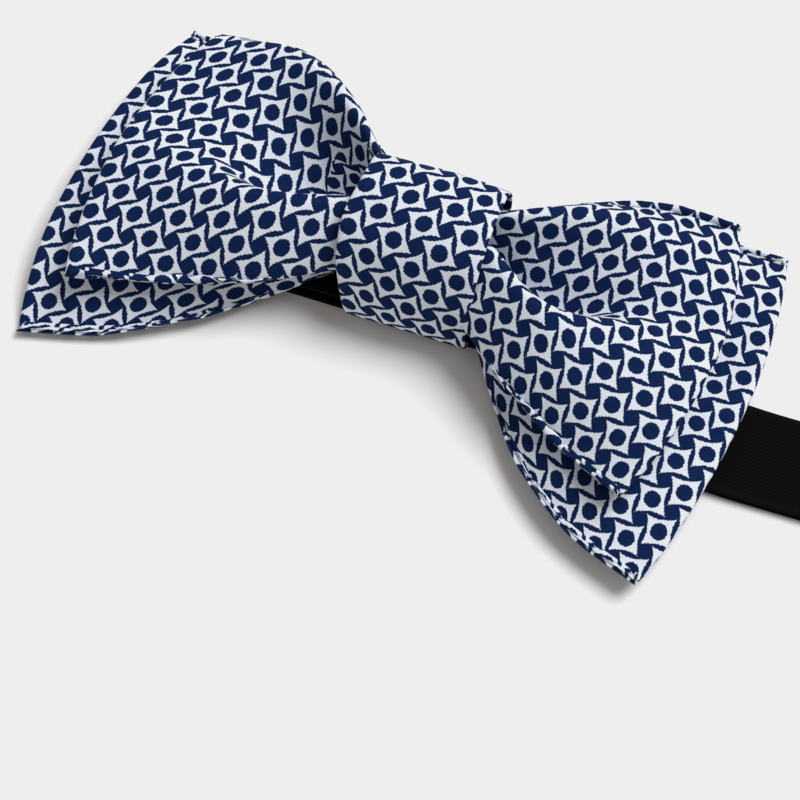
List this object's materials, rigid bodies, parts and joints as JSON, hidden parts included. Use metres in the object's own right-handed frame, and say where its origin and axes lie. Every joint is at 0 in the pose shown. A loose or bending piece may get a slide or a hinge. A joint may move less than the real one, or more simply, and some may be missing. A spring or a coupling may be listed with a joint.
{
  "type": "bow tie",
  "caption": "Ready-tied double bow tie in a navy and white geometric print, lying on its flat black neck band with the hook-and-eye clasp undone.",
  "frame": {"origin": "on the table under the middle of the knot, on the underside of the neck band's return run", "axes": "+X along the bow's width and the neck band, towards the clasp; +Y towards the bow's top edge; +Z out of the bow's front face, up from the table"},
  "size_m": [0.2439, 0.0648, 0.0223],
  "materials": {
    "printed_cotton": "plain-weave cotton poplin, navy on white print",
    "interlining_felt": "matt pressed felt",
    "navy_thread": "spun sewing thread",
    "black_band": "soft satin ribbon",
    "black_thread": "spun sewing thread",
    "nickel_plate": "nickel-plated stamped steel"
  },
  "bodies": {
    "bow": {"back_bow_shell": "printed_cotton", "back_bow_interlining": "interlining_felt", "back_bow_seam_thread": "navy_thread", "front_bow_shell": "printed_cotton", "front_bow_interlining": "interlining_felt", "front_bow_seam_thread": "navy_thread", "waist_binding": "navy_thread", "knot_lining": "interlining_felt", "knot_wrap": "printed_cotton", "knot_seam_thread": "navy_thread"},
    "band": {"neck_band": "black_band", "slider_bar_tack": "black_thread", "eye_bar_tack": "black_thread", "band_slider": "nickel_plate"},
    "hook": {"clasp_hook": "nickel_plate"},
    "eye": {"clasp_eye": "nickel_plate"}
  },
  "joints": [
    {"name": "knot_on_band", "type": "slide", "parent": "bow", "child": "band", "axis": [0.9925, 0.1219, 0], "range_m": [-0.004, 0.004]},
    {"name": "hook_pivot", "type": "hinge", "parent": "band", "child": "hook", "pos_m": [0.142, -0.0005, 0.0029], "axis": [0, -1, 0], "range_deg": [0, 120]},
    {"name": "eye_pivot", "type": "hinge", "parent": "band", "child": "eye", "pos_m": [0.172, -0.0005, 0.0017], "axis": [0, -1, 0], "range_deg": [0, 120]}
  ]
}
